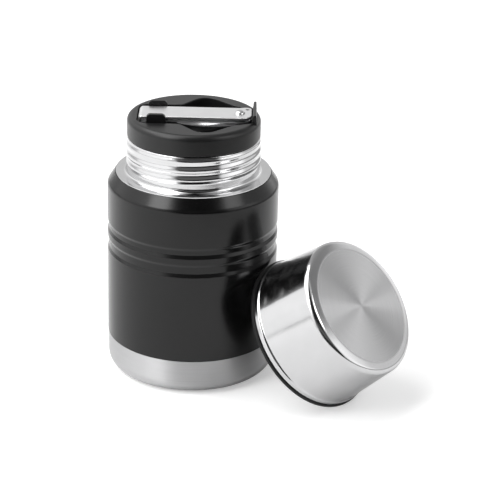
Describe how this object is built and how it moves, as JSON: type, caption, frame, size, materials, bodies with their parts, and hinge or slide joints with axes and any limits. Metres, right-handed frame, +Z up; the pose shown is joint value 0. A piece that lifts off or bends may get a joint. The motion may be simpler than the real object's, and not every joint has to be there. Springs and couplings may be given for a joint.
{
  "type": "insulated food jar",
  "caption": "Vacuum insulated food jar with a screw-in stopper, a folding spoon kept in the stopper's top and a separate steel cup lid leaning beside it.",
  "frame": {"origin": "centre of the jar's flat bottom, on the surface it stands on", "axes": "+Z up along the jar's axis, +X along the folded spoon's handle towards its rivet, +Y away from the viewer when +X is to the right"},
  "size_m": [0.1685, 0.1337, 0.1523],
  "materials": {
    "black_coating": "satin powder coating",
    "brushed_steel": "brushed round the axis",
    "polished_steel": "polished",
    "spoon_steel": "satin",
    "black_plastic": "semi-gloss moulded",
    "liner_plastic": "matt moulded",
    "seal_rubber": "silicone",
    "foam": "foam",
    "foil": "bright",
    "getter_metal": "sintered",
    "seal_resin": "hardened drop"
  },
  "bodies": {
    "jar": {"outer_shell": "black_coating", "neck_collar": "polished_steel", "inner_vessel": "polished_steel", "vessel_bottom": "polished_steel", "vessel_neck": "polished_steel", "radiation_foil": "foil", "getter": "getter_metal", "getter_clip": "polished_steel", "base_plate": "brushed_steel", "seal_bead": "seal_resin", "base_cup": "brushed_steel"},
    "stopper_seal": {"stopper_gasket": "seal_rubber"},
    "stopper": {"stopper_cap": "black_plastic", "stopper_plug": "black_plastic", "plug_foam": "foam", "plug_cover": "black_plastic"},
    "spoon": {"spoon_handle": "spoon_steel", "spoon_rivet": "spoon_steel", "rivet_collar": "spoon_steel", "spoon_washer": "spoon_steel"},
    "spoon_bowl": {"spoon_bowl": "spoon_steel"},
    "cup": {"cup_shell": "polished_steel", "cup_liner": "liner_plastic"}
  },
  "joints": [
    {"name": "stopper_rise", "type": "slide", "parent": "jar", "child": "stopper_seal", "axis": [0, 0, 1], "range_m": [0, 0.032]},
    {"name": "stopper_turn", "type": "hinge", "parent": "stopper_seal", "child": "stopper", "pos_m": [0, 0, 0.1365], "axis": [0, 0, 1], "range_deg": [0, 2160]},
    {"name": "spoon_lift", "type": "slide", "parent": "stopper", "child": "spoon", "axis": [0, 0, 1], "range_m": [0, 0.15]},
    {"name": "spoon_unfold", "type": "hinge", "parent": "spoon", "child": "spoon_bowl", "pos_m": [0.025, 0, 0.1457], "axis": [0, 0, 1], "range_deg": [0, 180.1]},
    {"name": "cup_lift", "type": "slide", "parent": "jar", "child": "cup", "axis": [0.6558, -0.4291, 0.6211], "range_m": [0, 0.12]}
  ],
  "couplings": [
    {"joint": "stopper_rise", "follows": "stopper_turn", "m_per_rad": 0.00084352},
    {"joint": "spoon_unfold", "follows": "spoon_lift", "rad_per_m": 20.944}
  ]
}
